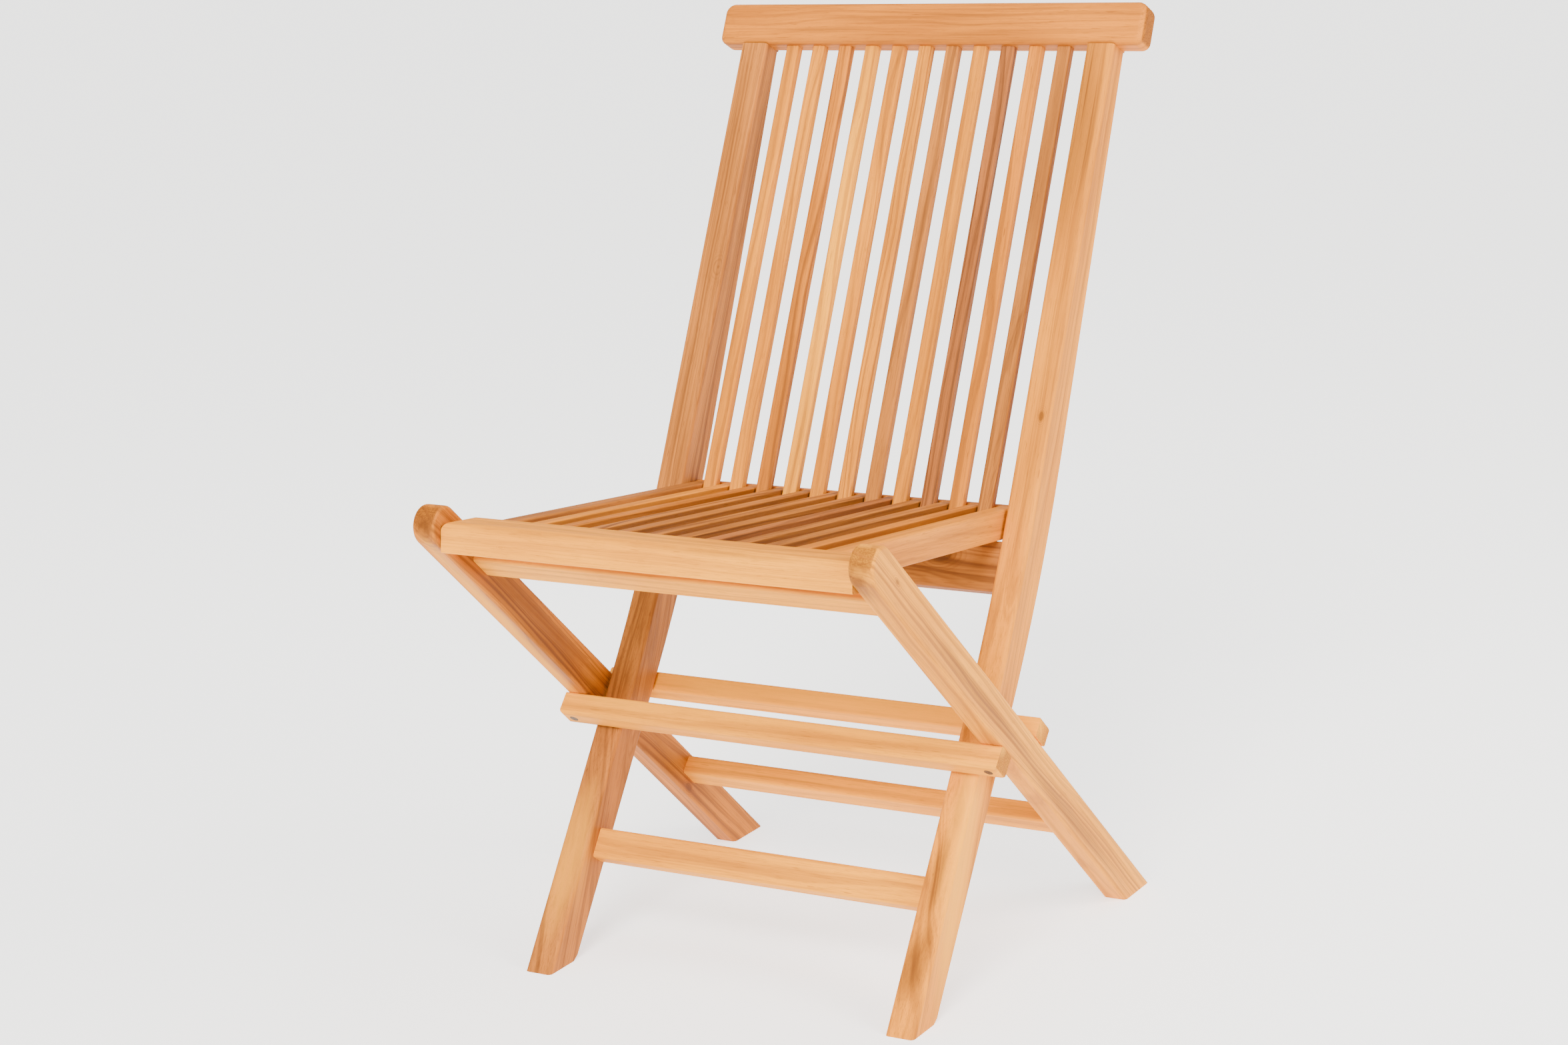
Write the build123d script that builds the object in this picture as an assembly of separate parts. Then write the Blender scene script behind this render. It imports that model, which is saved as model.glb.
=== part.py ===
from build123d import *
import os
from math import cos, hypot, radians, sin, tan

os.makedirs("parts", exist_ok=True)

# Folding slatted chair, all sizes in mm.
# X runs across the chair, Y from the front to the rear, Z up, with the floor at Z = 0.

# Back frame: two bent stiles that run from the front feet to the crest rail.
FRONT_FOOT_Y = -222.25
CREST_Y = 274.65
CREST_Z = 858.9
LOWER_LEAN = 35.33
UPPER_LEAN = 26.32
REAR_LEAN = 24.4
BEND_RADIUS = 1330.0
STILE_DEPTH = 40.0
STILE_TOP_DEPTH = 28.0
STILE_IN = 184.0
STILE_OUT = 213.8
STILE_EDGE = 4.0
FOOT_EASE = 8.0

CREST_HALF = 242.5
CREST_TALL = 45.0
CREST_DEPTH = 28.0
CREST_CORNER = 11.0
CREST_LOW_CORNER = 8.0
CREST_EDGE = 6.5

BACK_SLATS = 11
SLAT_PITCH = 31.2
BACK_SLAT_WIDE = 15.2
BACK_SLAT_N = (8.0, 18.5)
BACK_SLAT_EDGE = 2.6

LOW_RAIL_S = (-558.5, -508.9)
LOW_RAIL_N = (3.0, 23.0)
RAIL_EDGE = 4.0
RAIL_TOP_EDGE = 1.2

FRONT_STRETCHER_S = (126.0, 156.5)
FRONT_STRETCHER_N = (15.0, 35.0)
STRETCHER_EDGE = 3.0

# Leg frame: two straight short legs that run from the rear feet to the front of the seat.
REAR_FOOT_Y = 188.0
LEG_LEAN = -47.92
LEG_DEPTH = 39.0
LEG_LENGTH = 690.0
LEG_IN = 218.0
LEG_OUT = 243.0
LEG_EDGE = 3.5

FRONT_CROSS_S = (337.3, 361.0)
FRONT_CROSS_N = (-23.5, 0.0)
REAR_CROSS_S = (276.8, 300.6)
REAR_CROSS_N = (39.0, 60.0)
CROSS_EDGE = 4.0
CROSS_INNER_EDGE = 2.5
REAR_STRETCHER_S = (116.0, 145.0)
REAR_STRETCHER_N = (15.5, 35.5)
UPPER_STRETCHER_S = (582.0, 614.0)
UPPER_STRETCHER_N = (14.5, 29.0)

# Seat frame, measured along the seat's top face (s) and down from it (n).
SEAT_Y = 53.05
SEAT_Z = 431.0
SEAT_LEAN = 96.17
SEAT_FRONT_S = (-359.6, -313.8)
SEAT_REAR_S = (35.0, 47.0)
SEAT_RAIL_TALL = 29.0
REAR_RAIL_TALL = 21.0
SEAT_HALF = 217.5
SEAT_REAR_HALF = 182.0
SIDE_RAIL_X = (164.0, 182.0)
SEAT_ROUND = 8.0
SEAT_SLATS = 10
SEAT_SLAT_WIDE = 13.5
SEAT_SLAT_TALL = 20.0
SEAT_EDGE = 2.0

# Pivots: the pins where the stiles and legs cross, and the pins at the seat's front rail.
CROSS_PIVOT_S = 319.6
SEAT_PIVOT_S = 655.0
PIVOT_N = 19.0
CROSS_PIN_R = 5.0
SEAT_PIN_R = 4.0
RUNNING_GAP = 0.05
PIN_END_GAP = 0.5
CROSS_PIN_X = (190.0, 236.0)
SEAT_PIN_X = (196.0, 234.0)
WASHER_R = 11.0
WASHER_GAP = 0.4

# Screws that hold the two cross rails on the legs.
SCREW_X = 231.0
SCREW_HEAD_R = 4.5
SCREW_HEAD = 4.0
SCREW_SHANK_R = 2.2
SCREW_REACH = 14.0

# Tenons.
TENON = 9.0
SLAT_TENON = 6.0
SLAT_SHOULDER = 2.5
RAIL_SHOULDER = 5.0
STILE_TENON = 22.0
TONGUE_N = (7.0, 20.0)
STILE_HOUSING = 4.0
STILE_HOUSING_N = (16.0, 27.5)


def frame_at(y, z, lean):
    """Plane whose local axes are X, s (along the lean) and minus n (n is the depth)."""
    a = radians(lean)
    return Plane(origin=(0, y, z), x_dir=(1, 0, 0), z_dir=(0, -cos(a), sin(a)))


def point_on(y, z, lean, s, n):
    """Side-view position (y, z) of a point given by s and n."""
    a = radians(lean)
    return (y + s * sin(a) + n * cos(a), z + s * cos(a) - n * sin(a))


def meet(p, lean_p, q, lean_q):
    """Side-view point where two leaning lines cross."""
    a = radians(lean_p)
    b = radians(lean_q)
    gap = (q[0] - p[0], q[1] - p[1])
    t = (gap[0] * cos(b) - gap[1] * sin(b)) / sin(a - b)
    return (p[0] + t * sin(a), p[1] + t * cos(a))


def bend(a, corner, b, radius, turn):
    """Start, middle and end of the arc that rounds a corner between a and b."""
    reach = radius * tan(radians(turn) / 2)
    la = hypot(a[0] - corner[0], a[1] - corner[1])
    lb = hypot(b[0] - corner[0], b[1] - corner[1])
    start = tuple(corner[i] + (a[i] - corner[i]) * reach / la for i in (0, 1))
    end = tuple(corner[i] + (b[i] - corner[i]) * reach / lb for i in (0, 1))
    chord = tuple((start[i] + end[i]) / 2 for i in (0, 1))
    out = hypot(corner[0] - chord[0], corner[1] - chord[1])
    rise = radius * (1 - cos(radians(turn) / 2))
    middle = tuple(chord[i] + (corner[i] - chord[i]) * rise / out for i in (0, 1))
    return start, middle, end


def block(frame, x, s, n):
    """Plain bar between pairs of limits."""
    body = Box(x[1] - x[0], s[1] - s[0], n[1] - n[0])
    return frame * Pos(sum(x) / 2, sum(s) / 2, -sum(n) / 2) * body


def bar(frame, x, s, n, along, radius):
    """Bar with its four long edges rounded."""
    body = Box(x[1] - x[0], s[1] - s[0], n[1] - n[0])
    body = fillet(body.edges().filter_by(along), radius)
    return frame * Pos(sum(x) / 2, sum(s) / 2, -sum(n) / 2) * body


def cross_bar(frame, half, s, n, outer):
    """Rail that lies on the legs, its outer face rounded all round."""
    body = Box(2 * half, s[1] - s[0], n[1] - n[0])
    face = body.faces().sort_by(Axis.Z)[-1 if outer > 0 else 0]
    body = fillet(face.edges(), CROSS_EDGE)
    inner = body.faces().sort_by(Axis.Z)[0 if outer > 0 else -1]
    body = fillet(inner.edges().filter_by(Axis.X), CROSS_INNER_EDGE)
    return frame * Pos(0, sum(s) / 2, -sum(n) / 2) * body


def inset(limits, shoulder):
    return (limits[0] + shoulder, limits[1] - shoulder)


def side_x(side, low, high):
    """X limits on the right (side = 1) or the left (side = -1)."""
    return (low, high) if side > 0 else (-high, -low)


def pin(y, z, radius, x):
    return Pos(sum(x) / 2, y, z) * Rot(0, 90, 0) * Cylinder(radius, x[1] - x[0])


def ease(body, low, high, radius):
    """Round the long edges of a side piece between two heights."""
    edges = []
    for flat in body.faces().filter_by(Axis.X):
        edges += [e for e in flat.edges() if low < e.center().Z < high]
    return fillet(edges, radius)


LOWER = (FRONT_FOOT_Y, 0.0, LOWER_LEAN)
UPPER = (CREST_Y, CREST_Z, UPPER_LEAN)
LEG = (REAR_FOOT_Y, 0.0, LEG_LEAN)
SEAT = (SEAT_Y, SEAT_Z, SEAT_LEAN)
lower = frame_at(*LOWER)
upper = frame_at(*UPPER)
leg = frame_at(*LEG)
seat = frame_at(*SEAT)
CROSS = point_on(*LEG, CROSS_PIVOT_S, PIVOT_N)
HINGE = point_on(*LEG, SEAT_PIVOT_S, PIVOT_N)
parts = {}


def make_stile(side):
    """Stile: straight foot, long bend, and an upper length that tapers in depth."""
    foot = (FRONT_FOOT_Y, 0.0)
    top = (CREST_Y, CREST_Z)
    knee = meet(foot, LOWER_LEAN, top, UPPER_LEAN)
    top_rear = point_on(*UPPER, 0, STILE_TOP_DEPTH)
    on_rear = point_on(*LOWER, 0, STILE_DEPTH)
    heel = meet(on_rear, LOWER_LEAN, foot, 90.0)
    eased = meet(on_rear, LOWER_LEAN, (0.0, FOOT_EASE), 90.0)
    knee_rear = meet(on_rear, LOWER_LEAN, top_rear, REAR_LEAN)
    f1, f2, f3 = bend(foot, knee, top, BEND_RADIUS, LOWER_LEAN - UPPER_LEAN)
    r1, r2, r3 = bend(heel, knee_rear, top_rear, BEND_RADIUS, LOWER_LEAN - REAR_LEAN)
    outline = Line(foot, f1) + ThreePointArc(f1, f2, f3) + Line(f3, top) + Line(top, top_rear)
    outline += Line(top_rear, r3) + ThreePointArc(r3, r2, r1) + Line(r1, eased)
    outline += Line(eased, (heel[0] - FOOT_EASE, 0.0)) + Line((heel[0] - FOOT_EASE, 0.0), foot)
    x = side_x(side, STILE_IN, STILE_OUT)
    body = Pos(x[0], 0, 0) * extrude(Plane.YZ * make_face(outline), amount=x[1] - x[0])
    body = ease(body, FOOT_EASE, CREST_Z - CREST_TALL, STILE_EDGE)
    tongue = block(upper, inset(x, RAIL_SHOULDER), (0, STILE_TENON), TONGUE_N)
    tongue += block(upper, x, (0, STILE_HOUSING), STILE_HOUSING_N)
    return body + tongue, tongue


def make_leg(side):
    """Short leg: straight, foot cut to the floor, round top end."""
    radius = LEG_DEPTH / 2
    heel = meet(point_on(*LEG, 0, LEG_DEPTH), LEG_LEAN, (REAR_FOOT_Y, 0.0), 90.0)
    foot = (REAR_FOOT_Y, 0.0)
    front = point_on(*LEG, LEG_LENGTH - radius, 0)
    tip = point_on(*LEG, LEG_LENGTH, radius)
    rear = point_on(*LEG, LEG_LENGTH - radius, LEG_DEPTH)
    outline = Line(foot, front) + ThreePointArc(front, tip, rear) + Line(rear, heel) + Line(heel, foot)
    x = side_x(side, LEG_IN, LEG_OUT)
    body = Pos(x[0], 0, 0) * extrude(Plane.YZ * make_face(outline), amount=x[1] - x[0])
    return ease(body, FOOT_EASE, CREST_Z, LEG_EDGE)


def make_crest():
    """Crest rail with rounded corners and a rounded rim front and rear."""
    body = Box(2 * CREST_HALF, CREST_TALL, CREST_DEPTH)
    ends = body.edges().filter_by(Axis.Z).group_by(Axis.Y)
    body = fillet(ends[-1], CREST_CORNER)
    ends = body.edges().filter_by(Axis.Z).group_by(Axis.Y)
    body = fillet(ends[0], CREST_LOW_CORNER)
    rims = [e for e in body.edges() if abs(abs(e.center().Z) - CREST_DEPTH / 2) < 0.01]
    body = fillet(rims, CREST_EDGE)
    return upper * Pos(0, CREST_TALL / 2, -CREST_DEPTH / 2) * body


def make_low_rail():
    """Board under the rear of the seat, well rounded below and nearly square on top."""
    tall = LOW_RAIL_S[1] - LOW_RAIL_S[0]
    body = Box(2 * STILE_IN, tall, LOW_RAIL_N[1] - LOW_RAIL_N[0])
    levels = body.edges().filter_by(Axis.X).group_by(Axis.Y)
    body = fillet(levels[0], RAIL_EDGE)
    levels = body.edges().filter_by(Axis.X).group_by(Axis.Y)
    body = fillet(levels[-1], RAIL_TOP_EDGE)
    return upper * Pos(0, sum(LOW_RAIL_S) / 2, -sum(LOW_RAIL_N) / 2) * body


# Back frame.
crest = make_crest()
low_rail = make_low_rail()
stretcher = bar(lower, (-STILE_IN, STILE_IN), FRONT_STRETCHER_S, FRONT_STRETCHER_N, Axis.X, STRETCHER_EDGE)
for name, side in (("left", -1), ("right", 1)):
    stile, tongue = make_stile(side)
    crest -= tongue
    reach = side_x(side, STILE_IN, STILE_IN + TENON)
    tenon = block(upper, reach, inset(LOW_RAIL_S, RAIL_SHOULDER), inset(LOW_RAIL_N, RAIL_SHOULDER))
    low_rail += tenon
    stile -= tenon
    tenon = block(lower, reach, inset(FRONT_STRETCHER_S, RAIL_SHOULDER), inset(FRONT_STRETCHER_N, RAIL_SHOULDER))
    stretcher += tenon
    stile -= tenon
    cross_pin = pin(*CROSS, CROSS_PIN_R, side_x(side, *CROSS_PIN_X))
    parts["stile_" + name] = stile - cross_pin
    parts["cross_pin_" + name] = cross_pin
    ring = pin(*CROSS, WASHER_R, side_x(side, STILE_OUT, LEG_IN - WASHER_GAP))
    parts["spacer_washer_" + name] = ring - cross_pin

for i in range(BACK_SLATS):
    centre = (i - (BACK_SLATS - 1) / 2) * SLAT_PITCH
    x = (centre - BACK_SLAT_WIDE / 2, centre + BACK_SLAT_WIDE / 2)
    s = (LOW_RAIL_S[1], 0)
    slat = bar(upper, x, s, BACK_SLAT_N, Axis.Y, BACK_SLAT_EDGE)
    long = (s[0] - SLAT_TENON, s[1] + SLAT_TENON)
    tenon = block(upper, inset(x, SLAT_SHOULDER), long, inset(BACK_SLAT_N, SLAT_SHOULDER))
    parts["back_slat_%02d" % (i + 1)] = slat + tenon
    crest -= tenon
    low_rail -= tenon
parts["crest_rail"] = crest
parts["lower_back_rail"] = low_rail
parts["front_stretcher"] = stretcher

# Leg frame.
rear_stretcher = bar(leg, (-LEG_IN, LEG_IN), REAR_STRETCHER_S, REAR_STRETCHER_N, Axis.X, STRETCHER_EDGE)
upper_stretcher = bar(leg, (-LEG_IN, LEG_IN), UPPER_STRETCHER_S, UPPER_STRETCHER_N, Axis.X, STRETCHER_EDGE)
front_cross = cross_bar(leg, LEG_OUT, FRONT_CROSS_S, FRONT_CROSS_N, 1)
rear_cross = cross_bar(leg, LEG_OUT, REAR_CROSS_S, REAR_CROSS_N, -1)


def make_screw(x, s, face, inward):
    """Countersunk screw along n, its head flush with the rail's outer face."""
    head = Cylinder(SCREW_HEAD_R, SCREW_HEAD)
    throat = abs(FRONT_CROSS_N[0]) - SCREW_HEAD + SCREW_REACH
    shank = Cylinder(SCREW_SHANK_R, throat)
    at_head = face + inward * SCREW_HEAD / 2
    at_shank = face + inward * (SCREW_HEAD + throat / 2)
    return leg * Pos(x, s, -at_head) * head + leg * Pos(x, s, -at_shank) * shank


for name, side in (("left", -1), ("right", 1)):
    piece = make_leg(side)
    reach = side_x(side, LEG_IN, LEG_IN + TENON)
    tenon = block(leg, reach, inset(REAR_STRETCHER_S, RAIL_SHOULDER), inset(REAR_STRETCHER_N, RAIL_SHOULDER))
    rear_stretcher += tenon
    piece -= tenon
    tenon = block(leg, reach, inset(UPPER_STRETCHER_S, RAIL_SHOULDER), inset(UPPER_STRETCHER_N, SLAT_SHOULDER))
    upper_stretcher += tenon
    piece -= tenon
    end = CROSS_PIN_X[1] + PIN_END_GAP
    piece -= pin(*CROSS, CROSS_PIN_R + RUNNING_GAP, side_x(side, LEG_IN, end))
    seat_pin = pin(*HINGE, SEAT_PIN_R, side_x(side, *SEAT_PIN_X))
    piece -= seat_pin
    screw = make_screw(side * SCREW_X, sum(FRONT_CROSS_S) / 2, FRONT_CROSS_N[0], 1)
    front_cross -= screw
    piece -= screw
    parts["front_screw_" + name] = screw
    screw = make_screw(side * SCREW_X, sum(REAR_CROSS_S) / 2, REAR_CROSS_N[1], -1)
    rear_cross -= screw
    piece -= screw
    parts["rear_screw_" + name] = screw
    parts["short_leg_" + name] = piece
    parts["seat_pin_" + name] = seat_pin
parts["front_cross_rail"] = front_cross
parts["rear_cross_rail"] = rear_cross
parts["rear_stretcher"] = rear_stretcher
parts["upper_stretcher"] = upper_stretcher

# Seat.
tall = (0, SEAT_RAIL_TALL)
front_rail = Box(2 * SEAT_HALF, SEAT_FRONT_S[1] - SEAT_FRONT_S[0], SEAT_RAIL_TALL)
crown = front_rail.faces().sort_by(Axis.Z)[-1]
rounded = [e for e in crown.edges() if e.center().Y < 1]
front_rail = fillet(rounded, SEAT_ROUND)
base = front_rail.faces().sort_by(Axis.Z)[0]
front_rail = fillet(base.edges().filter_by(Axis.X), SEAT_EDGE)
front_rail = seat * Pos(0, sum(SEAT_FRONT_S) / 2, -SEAT_RAIL_TALL / 2) * front_rail
rear_span = (-SEAT_REAR_HALF, SEAT_REAR_HALF)
rear_rail = bar(seat, rear_span, SEAT_REAR_S, (0, REAR_RAIL_TALL), Axis.X, SEAT_EDGE)
for side in (-1, 1):
    start = SEAT_PIN_X[0] - PIN_END_GAP
    front_rail -= pin(*HINGE, SEAT_PIN_R + RUNNING_GAP, side_x(side, start, LEG_IN))

seat_s = (SEAT_FRONT_S[1], SEAT_REAR_S[0])
tenon_s = (seat_s[0] - TENON, seat_s[1] + SLAT_TENON)
for name, side in (("left", -1), ("right", 1)):
    x = side_x(side, *SIDE_RAIL_X)
    rail = bar(seat, x, seat_s, tall, Axis.Y, SEAT_EDGE)
    tenon = block(seat, inset(x, RAIL_SHOULDER), tenon_s, inset((0, REAR_RAIL_TALL), RAIL_SHOULDER))
    parts["seat_side_rail_" + name] = rail + tenon
    front_rail -= tenon
    rear_rail -= tenon
for i in range(SEAT_SLATS):
    centre = (i - (SEAT_SLATS - 1) / 2) * SLAT_PITCH
    x = (centre - SEAT_SLAT_WIDE / 2, centre + SEAT_SLAT_WIDE / 2)
    slat = bar(seat, x, seat_s, (0, SEAT_SLAT_TALL), Axis.Y, SEAT_EDGE)
    tenon = block(seat, inset(x, SLAT_SHOULDER), tenon_s, inset((0, SEAT_SLAT_TALL), RAIL_SHOULDER))
    parts["seat_slat_%02d" % (i + 1)] = slat + tenon
    front_rail -= tenon
    rear_rail -= tenon
parts["seat_front_rail"] = front_rail
parts["seat_rear_rail"] = rear_rail

for name, solid in parts.items():
    export_step(solid, "parts/" + name + ".step")
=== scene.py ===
from collections import namedtuple
from math import radians

import bpy
from mathutils import Matrix, Vector


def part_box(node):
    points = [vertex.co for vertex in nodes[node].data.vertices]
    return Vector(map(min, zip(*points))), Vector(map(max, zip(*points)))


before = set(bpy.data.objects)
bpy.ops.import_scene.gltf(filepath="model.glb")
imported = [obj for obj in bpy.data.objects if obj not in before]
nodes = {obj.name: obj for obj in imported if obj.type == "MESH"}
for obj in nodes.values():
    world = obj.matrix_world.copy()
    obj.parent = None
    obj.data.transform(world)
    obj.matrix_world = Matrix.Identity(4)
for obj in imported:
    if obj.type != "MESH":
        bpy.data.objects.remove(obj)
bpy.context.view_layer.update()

MM = 1 / 1000

# How each piece's grain leans in the side view, in degrees from vertical.
LOWER, UPPER, LEG, SEAT = 35.33, 26.32, -47.92, 96.17

# Tones of the wood: light bands, body colour and dark bands (linear RGB).
TONES = {
    "straw": ((0.96, 0.360, 0.010), (0.84, 0.295, 0.008), (0.42, 0.125, 0.010)),
    "pale": ((0.90, 0.350, 0.012), (0.76, 0.272, 0.008), (0.37, 0.112, 0.010)),
    "gold": ((0.79, 0.268, 0.010), (0.64, 0.200, 0.008), (0.28, 0.080, 0.009)),
    "amber": ((0.69, 0.212, 0.010), (0.54, 0.157, 0.008), (0.22, 0.060, 0.008)),
    "brown": ((0.53, 0.175, 0.024), (0.38, 0.122, 0.018), (0.14, 0.041, 0.010)),
    "red": ((0.42, 0.130, 0.028), (0.29, 0.087, 0.020), (0.10, 0.029, 0.009)),
}
# Dark colour of the heartwood patches, also used for the painted shade patches.
HEARTWOOD_AND_SHADE = (0.15, 0.043, 0.008)
SAPWOOD = (0.98, 0.400, 0.014)

# Each wooden piece: its tone, its lean, whether the grain runs along X instead of along the
# lean, the ring spacing in mm, the strength of the bands, and how far the tree's heart lies
# from the middle of the piece, in mm.
Piece = namedtuple("Piece", "tone lean across spacing strength heart")
PIECES = {
    "stile_left": Piece("brown", UPPER, False, 9.0, 0.55, (40, 20)),
    "stile_right": Piece("gold", UPPER, False, 13.0, 0.50, (14, 30)),
    "crest_rail": Piece("amber", UPPER, True, 9.0, 0.35, (50, 70)),
    "lower_back_rail": Piece("brown", UPPER, True, 11.0, 0.85, (22, 25)),
    "front_stretcher": Piece("pale", LOWER, True, 12.0, 0.35, (60, 60)),
    "short_leg_left": Piece("amber", LEG, False, 11.0, 0.80, (24, 25)),
    "short_leg_right": Piece("pale", LEG, False, 10.0, 0.80, (14, 30)),
    "front_cross_rail": Piece("pale", LEG, True, 13.0, 0.30, (70, 50)),
    "rear_cross_rail": Piece("straw", LEG, True, 11.0, 0.30, (55, 60)),
    "rear_stretcher": Piece("straw", LEG, True, 12.0, 0.30, (50, 80)),
    "upper_stretcher": Piece("pale", LEG, True, 10.0, 0.40, (60, 50)),
    "seat_front_rail": Piece("straw", SEAT, True, 13.0, 0.45, (25, 30)),
    "seat_rear_rail": Piece("amber", SEAT, True, 8.0, 0.40, (60, 50)),
    "seat_side_rail_left": Piece("brown", SEAT, False, 8.0, 0.45, (45, 50)),
    "seat_side_rail_right": Piece("gold", SEAT, False, 11.0, 0.40, (50, 45)),
}
BACK_TONES = ["gold", "gold", "amber", "pale", "gold", "gold", "brown", "gold", "red", "amber",
              "brown"]
SEAT_TONES = ["gold", "amber", "brown", "brown", "brown", "brown", "red", "brown", "brown",
              "amber"]
FINEST_RING, RING_STEPS = 6.0, 5
WEAKEST_BAND, BAND_STEPS = 0.50, 3
HEART_DRIFT = 3


def slat_row(prefix, tones, lean, shuffle, ring_step, band_step, heart):
    """Vary ring spacing, band strength and the place of the heart over a row of slats."""
    for i, tone in enumerate(tones):
        spacing = FINEST_RING + (i * shuffle % RING_STEPS) * ring_step
        strength = WEAKEST_BAND + (i % BAND_STEPS) * band_step
        place = (heart[0], heart[1] + HEART_DRIFT * i)
        name = "%s_%02d" % (prefix, i + 1)
        PIECES[name] = Piece(tone, lean, False, spacing, strength, place)


slat_row("back_slat", BACK_TONES, UPPER, 7, 1.2, 0.16, (40, 30))
slat_row("seat_slat", SEAT_TONES, SEAT, 3, 1.1, 0.15, (45, 28))

# Small knots: the place and the radius, in metres.
KNOTS = {
    "short_leg_right": [
        ((0.226, -0.272, 0.405), 0.004),
        ((0.240, -0.272, 0.445), 0.005),
        ((0.236, 0.125, 0.045), 0.004),
        ((0.226, -0.3145, 0.452), 0.007),
    ],
    "short_leg_left": [((-0.230, -0.313, 0.462), 0.010), ((-0.220, 0.10, 0.09), 0.006)],
    "stile_right": [((0.204, 0.105, 0.515), 0.004)],
    "stile_left": [((-0.190, 0.16, 0.64), 0.006)],
    "seat_front_rail": [((0.02, -0.316, 0.463), 0.003), ((-0.15, -0.309, 0.452), 0.0025)],
    "front_stretcher": [((0.10, -0.140, 0.115), 0.003)],
    "lower_back_rail": [((0.12, 0.045, 0.385), 0.010)],
}

# Long patches: the place, the half width and the half length in metres, and the strength.
# A positive strength is dark heartwood, and on a few marked entries painted shade; a negative
# one is pale sapwood.
PATCHES = {
    "stile_right": [
        ((0.193, 0.2545, 0.818), 0.0009, 0.050, 1.0),
        ((0.203, 0.232, 0.772), 0.0007, 0.06, 0.7),
        ((0.190, 0.235, 0.78), 0.016, 0.14, 0.75),
        ((0.191, -0.186, 0.045), 0.009, 0.045, 0.85),
        ((0.202, -0.176, 0.062), 0.009, 0.05, 0.75),
        ((0.198, -0.135, 0.120), 0.008, 0.07, 0.85),
        ((0.205, -0.092, 0.185), 0.006, 0.08, 0.85),
        ((0.2138, -0.15, 0.13), 0.003, 0.12, 0.5),
        ((0.2138, -0.105, 0.15), 0.018, 0.18, -0.85),
        ((0.203, 0.06, 0.47), 0.009, 0.10, 0.35),
    ],
    "stile_left": [
        # painted shade: the lower stile darkened where the legs cross it
        ((-0.199, -0.055, 0.235), 0.022, 0.06, 0.60),
        ((-0.199, 0.20, 0.72), 0.012, 0.16, 0.45),
        ((-0.200, -0.150, 0.110), 0.020, 0.10, -0.55),
    ],
    "short_leg_right": [
        ((0.226, -0.312, 0.455), 0.018, 0.035, 0.90),
        ((0.222, -0.285, 0.410), 0.004, 0.045, 0.8),
        ((0.243, -0.12, 0.30), 0.007, 0.16, 0.60),
        ((0.243, 0.06, 0.13), 0.008, 0.14, 0.60),
    ],
    "short_leg_left": [
        # painted shade: the next two darken the leg's inner face under the seat
        ((-0.218, -0.17, 0.34), 0.024, 0.20, 0.80),
        ((-0.218, 0.08, 0.12), 0.018, 0.12, 0.70),
        ((-0.230, -0.315, 0.46), 0.018, 0.03, 0.6),
        ((-0.234, -0.19, 0.335), 0.010, 0.30, -0.7),
    ],
    "seat_front_rail": [
        ((0.08, -0.306, 0.468), 0.006, 0.12, 0.55),
        ((-0.11, -0.306, 0.468), 0.005, 0.07, 0.45),
    ],
    "crest_rail": [
        ((0.05, 0.285, 0.875), 0.004, 0.10, 0.35),
        ((-0.12, 0.283, 0.87), 0.004, 0.07, 0.35),
    ],
    "upper_stretcher": [((-0.05, -0.262, 0.425), 0.006, 0.16, 0.5)],
    "rear_cross_rail": [((0.0, 0.0, 0.240), 0.018, 0.40, -0.85)],
    "front_cross_rail": [((0.0, -0.08, 0.240), 0.010, 0.40, -0.85)],
    "back_slat_01": [((-0.157, 0.12, 0.55), 0.006, 0.10, 0.60)],
    "back_slat_04": [((-0.061, 0.10, 0.50), 0.005, 0.12, 0.60)],
    "back_slat_11": [((0.156, 0.23, 0.76), 0.010, 0.14, 0.60)],
    "seat_side_rail_right": [((0.176, -0.02, 0.43), 0.007, 0.08, 0.35)],
}

# Noise in the wood: waves per metre across and along the grain, detail and roughness.
Grain = namedtuple("Grain", "across along detail rough")
WAVE = Grain(14.0, 2.2, 2.0, 0.45)
RIPPLE = Grain(60.0, 9.0, 2.0, 0.5)
CLOUD = Grain(18.0, 4.0, 2.0, 0.5)
BROAD = Grain(55.0, 1.6, 3.0, 0.5)
STREAK = Grain(190.0, 3.5, 2.0, 0.55)
FIBRE = Grain(900.0, 16.0, 3.0, 0.6)
FLECK = Grain(650.0, 48.0, 2.0, 0.5)
PORE = Grain(1700.0, 70.0, 1.0, 0.5)
END_DOTS = Grain(700.0, 700.0, 2.0, 0.5)
WEAR = Grain(90.0, 30.0, 3.0, 0.5)

# Each piece takes its noise from its own place: the step per seed and the wrap on X, Y and Z.
NOISE_STEPS = ((0.37, 3.1), (0.53, 2.7), (0.91, 5.3))

# How far the waves and ripples push the growth rings, in metres.
WAVE_PUSH, RIPPLE_PUSH = 0.040, 0.004

# Growth rings: the noise that makes them uneven, the values where a broad band starts and is
# full, and where in a ring its thin line starts, is full and ends.
RING_NOISE = {"Scale": 1.7, "Detail": 3.5, "Roughness": 0.62}
BAND_RANGE = (0.44, 0.68)
LINE_START, LINE_FULL, LINE_END = 0.62, 0.97, 1.0

# Where the other soft masks start and are full. END, EDGE and the flank mask are for the
# surface's direction, where 1 is square to an axis of the piece; the flank mask picks the seat
# slats' side faces for painted shade.
CLOUD_RANGE, LINE_CLOUD_RANGE = (0.35, 0.68), (0.3, 0.7)
PORE_RANGE, DOT_RANGE, WEAR_RANGE = (0.60, 0.72), (0.34, 0.62), (0.35, 0.7)
END_RANGE, EDGE_RANGE, FLANK_SHADE_RANGE = (0.72, 0.92), (0.76, 0.97), (0.75, 0.95)

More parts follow.
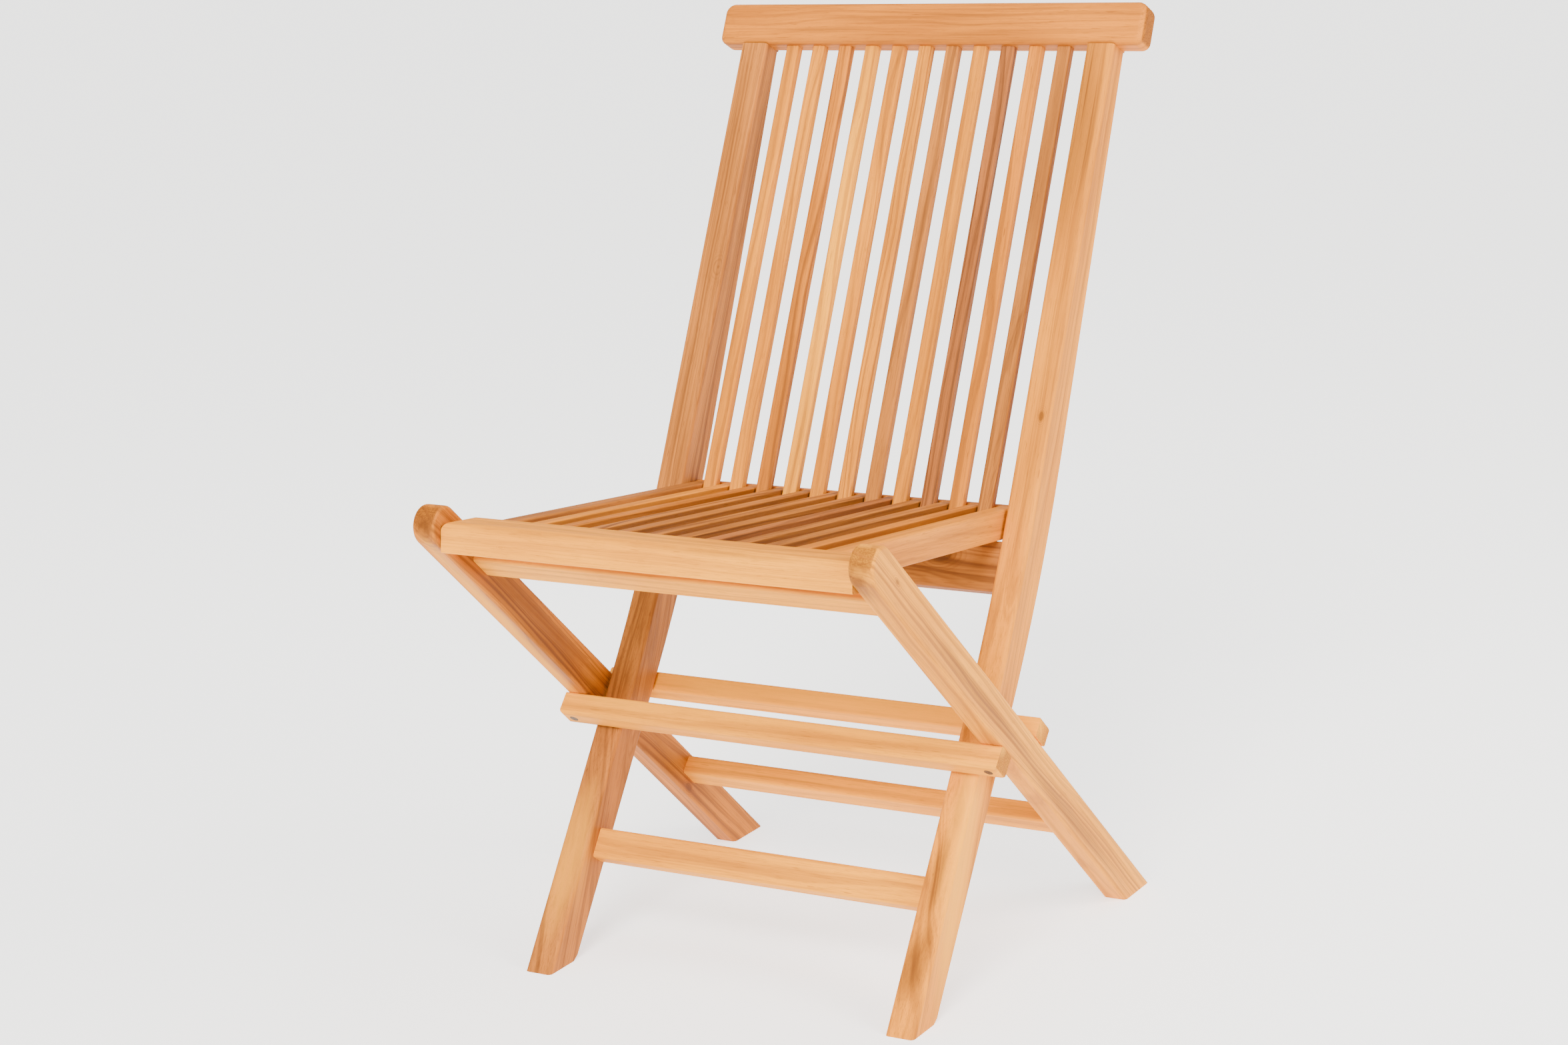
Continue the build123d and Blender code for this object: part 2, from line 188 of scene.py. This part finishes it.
# Marks along the grain, in the order that they are laid down: the noise, the values where the
# mark starts and where it is full, whether it is dark, and its strength.
MARKS = [
    (BROAD, 0.50, 0.78, True, 0.55),
    (BROAD, 0.46, 0.26, False, 0.45),
    (STREAK, 0.50, 0.74, True, 0.45),
    (FIBRE, 0.48, 0.72, True, 0.34),
    (FLECK, 0.66, 0.74, True, 0.55),
]
LINE_STRENGTH, PORE_STRENGTH, END_STRENGTH, END_LINE_STRENGTH = 0.30, 0.24, 0.85, 0.7
WEAR_STRENGTH, FLANK_SHADE_STRENGTH = 0.30, 0.60

# Shares of the body and dark tones that the darker marks and the painted shade on the seat
# slats' sides keep.
END_BODY, END_DARK, PORE_DARK, KNOT_DARK, FLANK_SHADE_DARK = 0.62, 0.7, 0.5, 0.6, 0.55

# Patches: how far waves and ripples bend them, in half widths, where they fade, in sizes of
# the patch, and how much of a patch is plain and how much follows the bands.
PATCH_WAVE, PATCH_RIPPLE = 1.3, 0.8
PATCH_FADE = (0.35, 1.25)
PATCH_PLAIN, PATCH_BANDED = 0.70, 0.30

# Knots, in radii: their ripple, where halo and core fade, and the turns of the swirl.
KNOT_RIPPLE, KNOT_SQUASH = 0.9, 0.55
HALO_FADE, CORE_FADE = (0.5, 2.2), (0.45, 0.95)
SWIRL_TURNS, SWIRL_RANGE = 3.2, (0.35, 0.9)
HALO_STRENGTH, CORE_STRENGTH = 0.55, 0.75

WOOD_SHINE, WOOD_TINT = 0.16, (1.0, 0.80, 0.50, 1.0)
ROUGHNESS, STREAK_ROUGHNESS, END_ROUGHNESS = 0.45, 0.20, 0.15

# Bump: how high the fibres stand, and how deep the pores, ring lines and knots lie.
FIBRE_HEIGHT, PORE_DEPTH, LINE_DEPTH, KNOT_DEPTH = 0.5, -0.6, -0.15, 0.5
BUMP_STRENGTH, BUMP_METRES = 0.35, 0.0005

# Steel: stains and scratches per metre, how dark and how rough a stain is, and the scratches.
STAINS, STAIN_DETAIL, STAIN_RANGE = 320.0, 3.0, (0.42, 0.7)
STAIN_DARK, STAIN_ROUGHNESS, STEEL_METALLIC = 0.45, 0.3, 0.9
SCRATCHES, SCRATCH_DETAIL = (2500.0, 2500.0, 300.0), 2.0
SCRATCH_STRENGTH, SCRATCH_METRES = 0.2, 0.0002

FIRST_SEED, SEED_STEP = 10, 7


def darker(colour, share):
    return tuple(c * share for c in colour)


class Tree:
    """Short names for building a material's nodes."""

    def __init__(self, name):
        self.mat = bpy.data.materials.new(name)
        self.mat.use_nodes = True
        self.tree = self.mat.node_tree
        self.bsdf = next(n for n in self.tree.nodes if n.type == "BSDF_PRINCIPLED")

    def put(self, socket, value):
        if isinstance(value, bpy.types.NodeSocket):
            self.tree.links.new(value, socket)
        else:
            socket.default_value = value

    def new(self, kind, inputs=None, **props):
        node = self.tree.nodes.new("ShaderNode" + kind)
        for key, value in props.items():
            setattr(node, key, value)
        for key, value in (inputs or {}).items():
            self.put(node.inputs[key], value)
        return node

    def surface(self, values):
        for key, value in values.items():
            self.put(self.bsdf.inputs[key], value)
        return self.mat

    def math(self, op, a, b=0.0, c=0.0):
        return self.new("Math", {0: a, 1: b, 2: c}, operation=op).outputs[0]

    def times(self, a, b):
        return self.math("MULTIPLY", a, b)

    def invert(self, value):
        return self.math("SUBTRACT", 1.0, value)

    def vec(self, op, a, b=(0, 0, 0)):
        return self.new("VectorMath", {0: a, 1: b}, operation=op).outputs[0]

    def length(self, vector):
        return self.new("VectorMath", {0: vector}, operation="LENGTH").outputs["Value"]

    def turned(self, vector, turn, kind="POINT"):
        inputs = {"Vector": vector, "Rotation": turn}
        return self.new("Mapping", inputs, vector_type=kind).outputs[0]

    def noise(self, vector, scale, detail, rough=0.5):
        inputs = {"Vector": vector, "Scale": scale, "Detail": detail, "Roughness": rough}
        return self.new("TexNoise", inputs)

    def grain(self, along, kind):
        """Noise in the piece's own axes, where Z runs along the grain."""
        squeezed = self.vec("MULTIPLY", along, (kind.across, kind.across, kind.along))
        return self.noise(squeezed, 1.0, kind.detail, kind.rough)

    def drift(self, along, kind):
        """A vector that wanders around zero."""
        return self.vec("SUBTRACT", self.grain(along, kind).outputs["Color"], (0.5, 0.5, 0.5))

    def push(self, vector, drift, far, far_along=0.0):
        return self.vec("ADD", vector, self.vec("MULTIPLY", drift, (far, far, far_along)))

    def smooth(self, value, low, high):
        inputs = {"Value": value, "From Min": low, "From Max": high}
        node = self.new("MapRange", inputs, interpolation_type="SMOOTHSTEP")
        return node.outputs["Result"]

    def mix(self, mask, a, b):
        node = self.new("Mix", data_type="RGBA", blend_type="MIX")
        self.put(node.inputs["Factor"], mask)
        for key, value in (("A", a), ("B", b)):
            socket = next(s for s in node.inputs if s.name == key and s.type == "RGBA")
            self.put(socket, (*value, 1.0) if isinstance(value, tuple) else value)
        return next(s for s in node.outputs if s.type == "RGBA")

    def paint(self, under, over, mask, strength):
        return self.mix(self.times(mask, strength), under, over)


def growth_rings(m, name, piece, turn, local, wave, ripple):
    """Broad bands and thin lines of the growth rings, cut lengthways around the heart."""
    flat = m.vec("MULTIPLY", local, (1.0, 1.0, 0.0))
    flat = m.push(flat, wave, WAVE_PUSH)
    flat = m.push(flat, ripple, RIPPLE_PUSH)
    low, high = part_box(name)
    centre = (low + high) / 2
    middle = Matrix.Rotation(turn[1], 3, "Y") @ Matrix.Rotation(turn[0], 3, "X") @ centre
    heart = (middle.x + piece.heart[0] * MM, middle.y + piece.heart[1] * MM, 0.0)
    rings = m.math("DIVIDE", m.length(m.vec("SUBTRACT", flat, heart)), piece.spacing * MM)

    uneven = m.new("TexNoise", {"W": rings, **RING_NOISE}, noise_dimensions="1D")
    bands = m.smooth(uneven.outputs["Fac"], *BAND_RANGE)
    part = m.math("FRACT", rings)
    rise = m.smooth(part, LINE_START, LINE_FULL)
    line = m.times(rise, m.invert(m.smooth(part, LINE_FULL, LINE_END)))
    return bands, line


def wood(name, piece, seed):
    """Oiled hardwood: growth rings, fibre, pores, end grain, patches, knots and worn edges,
    with painted shade in a few patches and on the seat slats' side faces.
    """
    light, body, dark = TONES[piece.tone]
    m = Tree("wood_" + name)
    coord = m.new("TexCoord").outputs
    turn = (radians(piece.lean), radians(-90) if piece.across else 0.0, 0.0)
    local = m.turned(coord["Object"], turn)
    offset = tuple(seed * step % wrap for step, wrap in NOISE_STEPS)
    along = m.vec("ADD", local, offset)
    wave, ripple = m.drift(along, WAVE), m.drift(along, RIPPLE)
    bands, line = growth_rings(m, name, piece, turn, local, wave, ripple)

    noise = {kind: m.grain(along, kind).outputs["Fac"]
             for kind in (CLOUD, BROAD, STREAK, FIBRE, FLECK, PORE, END_DOTS, WEAR)}
    cloud = noise[CLOUD]
    colour = m.mix(m.smooth(cloud, *CLOUD_RANGE), light, body)
    colour = m.paint(colour, dark, bands, piece.strength)
    soft_line = m.times(line, m.smooth(cloud, *LINE_CLOUD_RANGE))
    colour = m.paint(colour, dark, soft_line, LINE_STRENGTH * piece.strength)
    for kind, start, full, is_dark, strength in MARKS:
        mark = m.smooth(noise[kind], start, full)
        colour = m.paint(colour, dark if is_dark else light, mark, strength)
    pores = m.smooth(noise[PORE], *PORE_RANGE)
    colour = m.paint(colour, darker(dark, PORE_DARK), pores, PORE_STRENGTH)

    # End grain and edges, from the way the surface faces in the piece's own axes.
    facing = m.vec("ABSOLUTE", m.turned(coord["Normal"], turn, "NORMAL"))
    axes = m.new("SeparateXYZ", {0: facing}).outputs
    end = m.smooth(axes[2], *END_RANGE)
    squarest = m.math("MAXIMUM", m.math("MAXIMUM", axes[0], axes[1]), axes[2])
    edge = m.invert(m.smooth(squarest, *EDGE_RANGE))
    dots = m.smooth(noise[END_DOTS], *DOT_RANGE)
    end_colour = m.mix(dots, darker(body, END_BODY), darker(dark, END_DARK))
    end_colour = m.paint(end_colour, dark, line, END_LINE_STRENGTH)
    colour = m.paint(colour, end_colour, end, END_STRENGTH)

    # Patches fade out at their rims and keep the rings' shape; the dark ones are heartwood, and
    # a few are painted shade.
    for place, wide, length, strength in PATCHES.get(name, []):
        gap = m.turned(m.vec("SUBTRACT", coord["Object"], place), turn)
        gap = m.push(gap, wave, wide * PATCH_WAVE)
        gap = m.push(gap, ripple, wide * PATCH_RIPPLE)
        gap = m.vec("DIVIDE", gap, (wide, wide, length))
        near = m.invert(m.smooth(m.length(gap), *PATCH_FADE))
        near = m.times(near, m.math("MULTIPLY_ADD", bands, PATCH_BANDED, PATCH_PLAIN))
        patch = HEARTWOOD_AND_SHADE if strength > 0 else SAPWOOD
        colour = m.paint(colour, patch, near, abs(strength))

    # Knots: a dark core in a soft halo, stretched along the grain.
    height = m.times(noise[FIBRE], FIBRE_HEIGHT)
    for place, radius in KNOTS.get(name, []):
        gap = m.turned(m.vec("SUBTRACT", coord["Object"], place), turn)
        gap = m.push(gap, ripple, radius * KNOT_RIPPLE, radius * KNOT_RIPPLE)
        gap = m.vec("MULTIPLY", gap, (1.0, 1.0, KNOT_SQUASH))
        far = m.math("DIVIDE", m.length(gap), radius)
        halo = m.invert(m.smooth(far, *HALO_FADE))
        swirl = m.smooth(m.math("FRACT", m.times(far, SWIRL_TURNS)), *SWIRL_RANGE)
        core = m.invert(m.smooth(far, *CORE_FADE))
        colour = m.paint(colour, dark, m.times(halo, swirl), HALO_STRENGTH)
        colour = m.paint(colour, darker(dark, KNOT_DARK), core, CORE_STRENGTH)
        height = m.math("SUBTRACT", height, m.times(core, KNOT_DEPTH))

    # Worn edges are lighter, and painted shade darkens the side faces of the seat slats, in the
    # gaps between them.
    worn = m.times(m.smooth(noise[WEAR], *WEAR_RANGE), WEAR_STRENGTH)
    colour = m.paint(colour, light, edge, worn)
    if name.startswith("seat_slat"):
        flank_shade = m.smooth(axes[0], *FLANK_SHADE_RANGE)
        colour = m.paint(colour, darker(dark, FLANK_SHADE_DARK), flank_shade, FLANK_SHADE_STRENGTH)

    rough = m.math("MULTIPLY_ADD", noise[STREAK], STREAK_ROUGHNESS, ROUGHNESS)
    rough = m.math("ADD", rough, m.times(end, END_ROUGHNESS))
    height = m.math("ADD", height, m.times(pores, PORE_DEPTH))
    height = m.math("ADD", height, m.times(line, LINE_DEPTH))
    bump = m.new("Bump", {"Strength": BUMP_STRENGTH, "Distance": BUMP_METRES, "Height": height})
    return m.surface({"Base Color": colour, "Roughness": rough, "Normal": bump.outputs[0],
                      "Specular IOR Level": WOOD_SHINE, "Specular Tint": WOOD_TINT,
                      "Metallic": 0.0})


def metal(name, base, rough):
    """Steel with fine scratches and a little tarnish."""
    m = Tree(name)
    coord = m.new("TexCoord").outputs["Object"]
    stain = m.noise(coord, STAINS, STAIN_DETAIL).outputs["Fac"]
    scratched = m.vec("MULTIPLY", coord, SCRATCHES)
    bump = m.new("Bump", {"Strength": SCRATCH_STRENGTH, "Distance": SCRATCH_METRES,
                          "Height": m.noise(scratched, 1.0, SCRATCH_DETAIL).outputs["Fac"]})
    colour = m.mix(m.smooth(stain, *STAIN_RANGE), base, darker(base, STAIN_DARK))
    return m.surface({"Base Color": colour, "Normal": bump.outputs[0],
                      "Roughness": m.math("MULTIPLY_ADD", stain, STAIN_ROUGHNESS, rough),
                      "Metallic": STEEL_METALLIC})


for number, (name, piece) in enumerate(PIECES.items()):
    nodes[name].data.materials[0] = wood(name, piece, FIRST_SEED + SEED_STEP * number)
steel = metal("zinc_steel", (0.50, 0.47, 0.43), 0.32)
screws = metal("dark_screw", (0.16, 0.10, 0.06), 0.45)
for name, node in nodes.items():
    if name not in PIECES:
        node.data.materials[0] = screws if "screw" in name else steel

# Smooth shading with crisp creases.
CREASE = radians(30)
for node in nodes.values():
    for polygon in node.data.polygons:
        polygon.use_smooth = True
    node.data.set_sharp_from_angle(angle=CREASE)

# Plain pale floor, lit a little from within so that it stays near white.
FLOOR_SIZE = 40
FLOOR_GLOW = 1.4
bpy.ops.mesh.primitive_plane_add(size=FLOOR_SIZE, location=(0, 0, 0))
floor = bpy.context.object
floor.name = "floor"
floor.data.materials.append(Tree("floor").surface({
    "Base Color": (0.86, 0.88, 0.92, 1), "Roughness": 0.85, "Specular IOR Level": 0.0,
    "Emission Color": (1, 1, 1, 1), "Emission Strength": FLOOR_GLOW}))

# Soft studio light: a wide sun from the front, weak softboxes and a warm sky.
SKY_COLOUR, SKY_STRENGTH = (1.0, 0.965, 0.89, 1), 0.6
LAMP_COLOUR = (1.0, 0.965, 0.88)
SUN_STRENGTH, SUN_WIDTH, SUN_WAY = 5.7, radians(28), (-0.24, 1.0, -0.74)

# Softboxes: the place, the point that they face, the side in metres and the power in watts.
SOFTBOXES = {
    "fill": ((2.6, 0.0, 1.9), (0, 0, 0.4), 1.3, 80),
    "left": ((-2.4, -1.2, 1.2), (0, 0, 0.4), 1.5, 12),
    "top": ((0.0, 0.5, 2.7), (0, 0, 0.3), 2.0, 25),
}

world = bpy.data.worlds.new("studio")
world.use_nodes = True
background = world.node_tree.nodes["Background"].inputs
background[0].default_value = SKY_COLOUR
background[1].default_value = SKY_STRENGTH
bpy.context.scene.world = world


def hang(light, way):
    """Put a light in the scene, shining along a direction."""
    light.color = LAMP_COLOUR
    lamp = bpy.data.objects.new(light.name, light)
    lamp.rotation_euler = Vector(way).to_track_quat("-Z", "Y").to_euler()
    bpy.context.scene.collection.objects.link(lamp)
    return lamp


def softbox(name, place, target, side, power):
    light = bpy.data.lights.new(name, "AREA")
    light.shape = "RECTANGLE"
    light.size = light.size_y = side
    light.energy = power
    hang(light, Vector(target) - Vector(place)).location = place


sun = bpy.data.lights.new("key", "SUN")
sun.energy = SUN_STRENGTH
sun.angle = SUN_WIDTH
hang(sun, SUN_WAY)
for name, (place, target, side, power) in SOFTBOXES.items():
    softbox(name, place, target, side, power)

# Camera at the height and angle of the studio picture. The turns are in degrees.
CAMERA_PLACE = (1.5030, -2.6061, 1.1312)
CAMERA_HEADING, CAMERA_TILT, CAMERA_ROLL = 30.94, 78.63, -2.73
SENSOR_MM, LENS_MM = 36.0, 72.64
SHIFT_X, SHIFT_Y = 0.0208, -0.0681
FARTHEST = 100

camera = bpy.data.cameras.new("camera")
camera.sensor_width = SENSOR_MM
camera.lens = LENS_MM
camera.shift_x, camera.shift_y = SHIFT_X, SHIFT_Y
camera.clip_end = FARTHEST
eye = bpy.data.objects.new("camera", camera)
eye.matrix_world = Matrix.Translation(CAMERA_PLACE)
for degrees, axis in ((CAMERA_HEADING, "Z"), (CAMERA_TILT, "X"), (CAMERA_ROLL, "Z")):
    eye.matrix_world = eye.matrix_world @ Matrix.Rotation(radians(degrees), 4, axis)
bpy.context.scene.collection.objects.link(eye)
bpy.context.scene.camera = eye
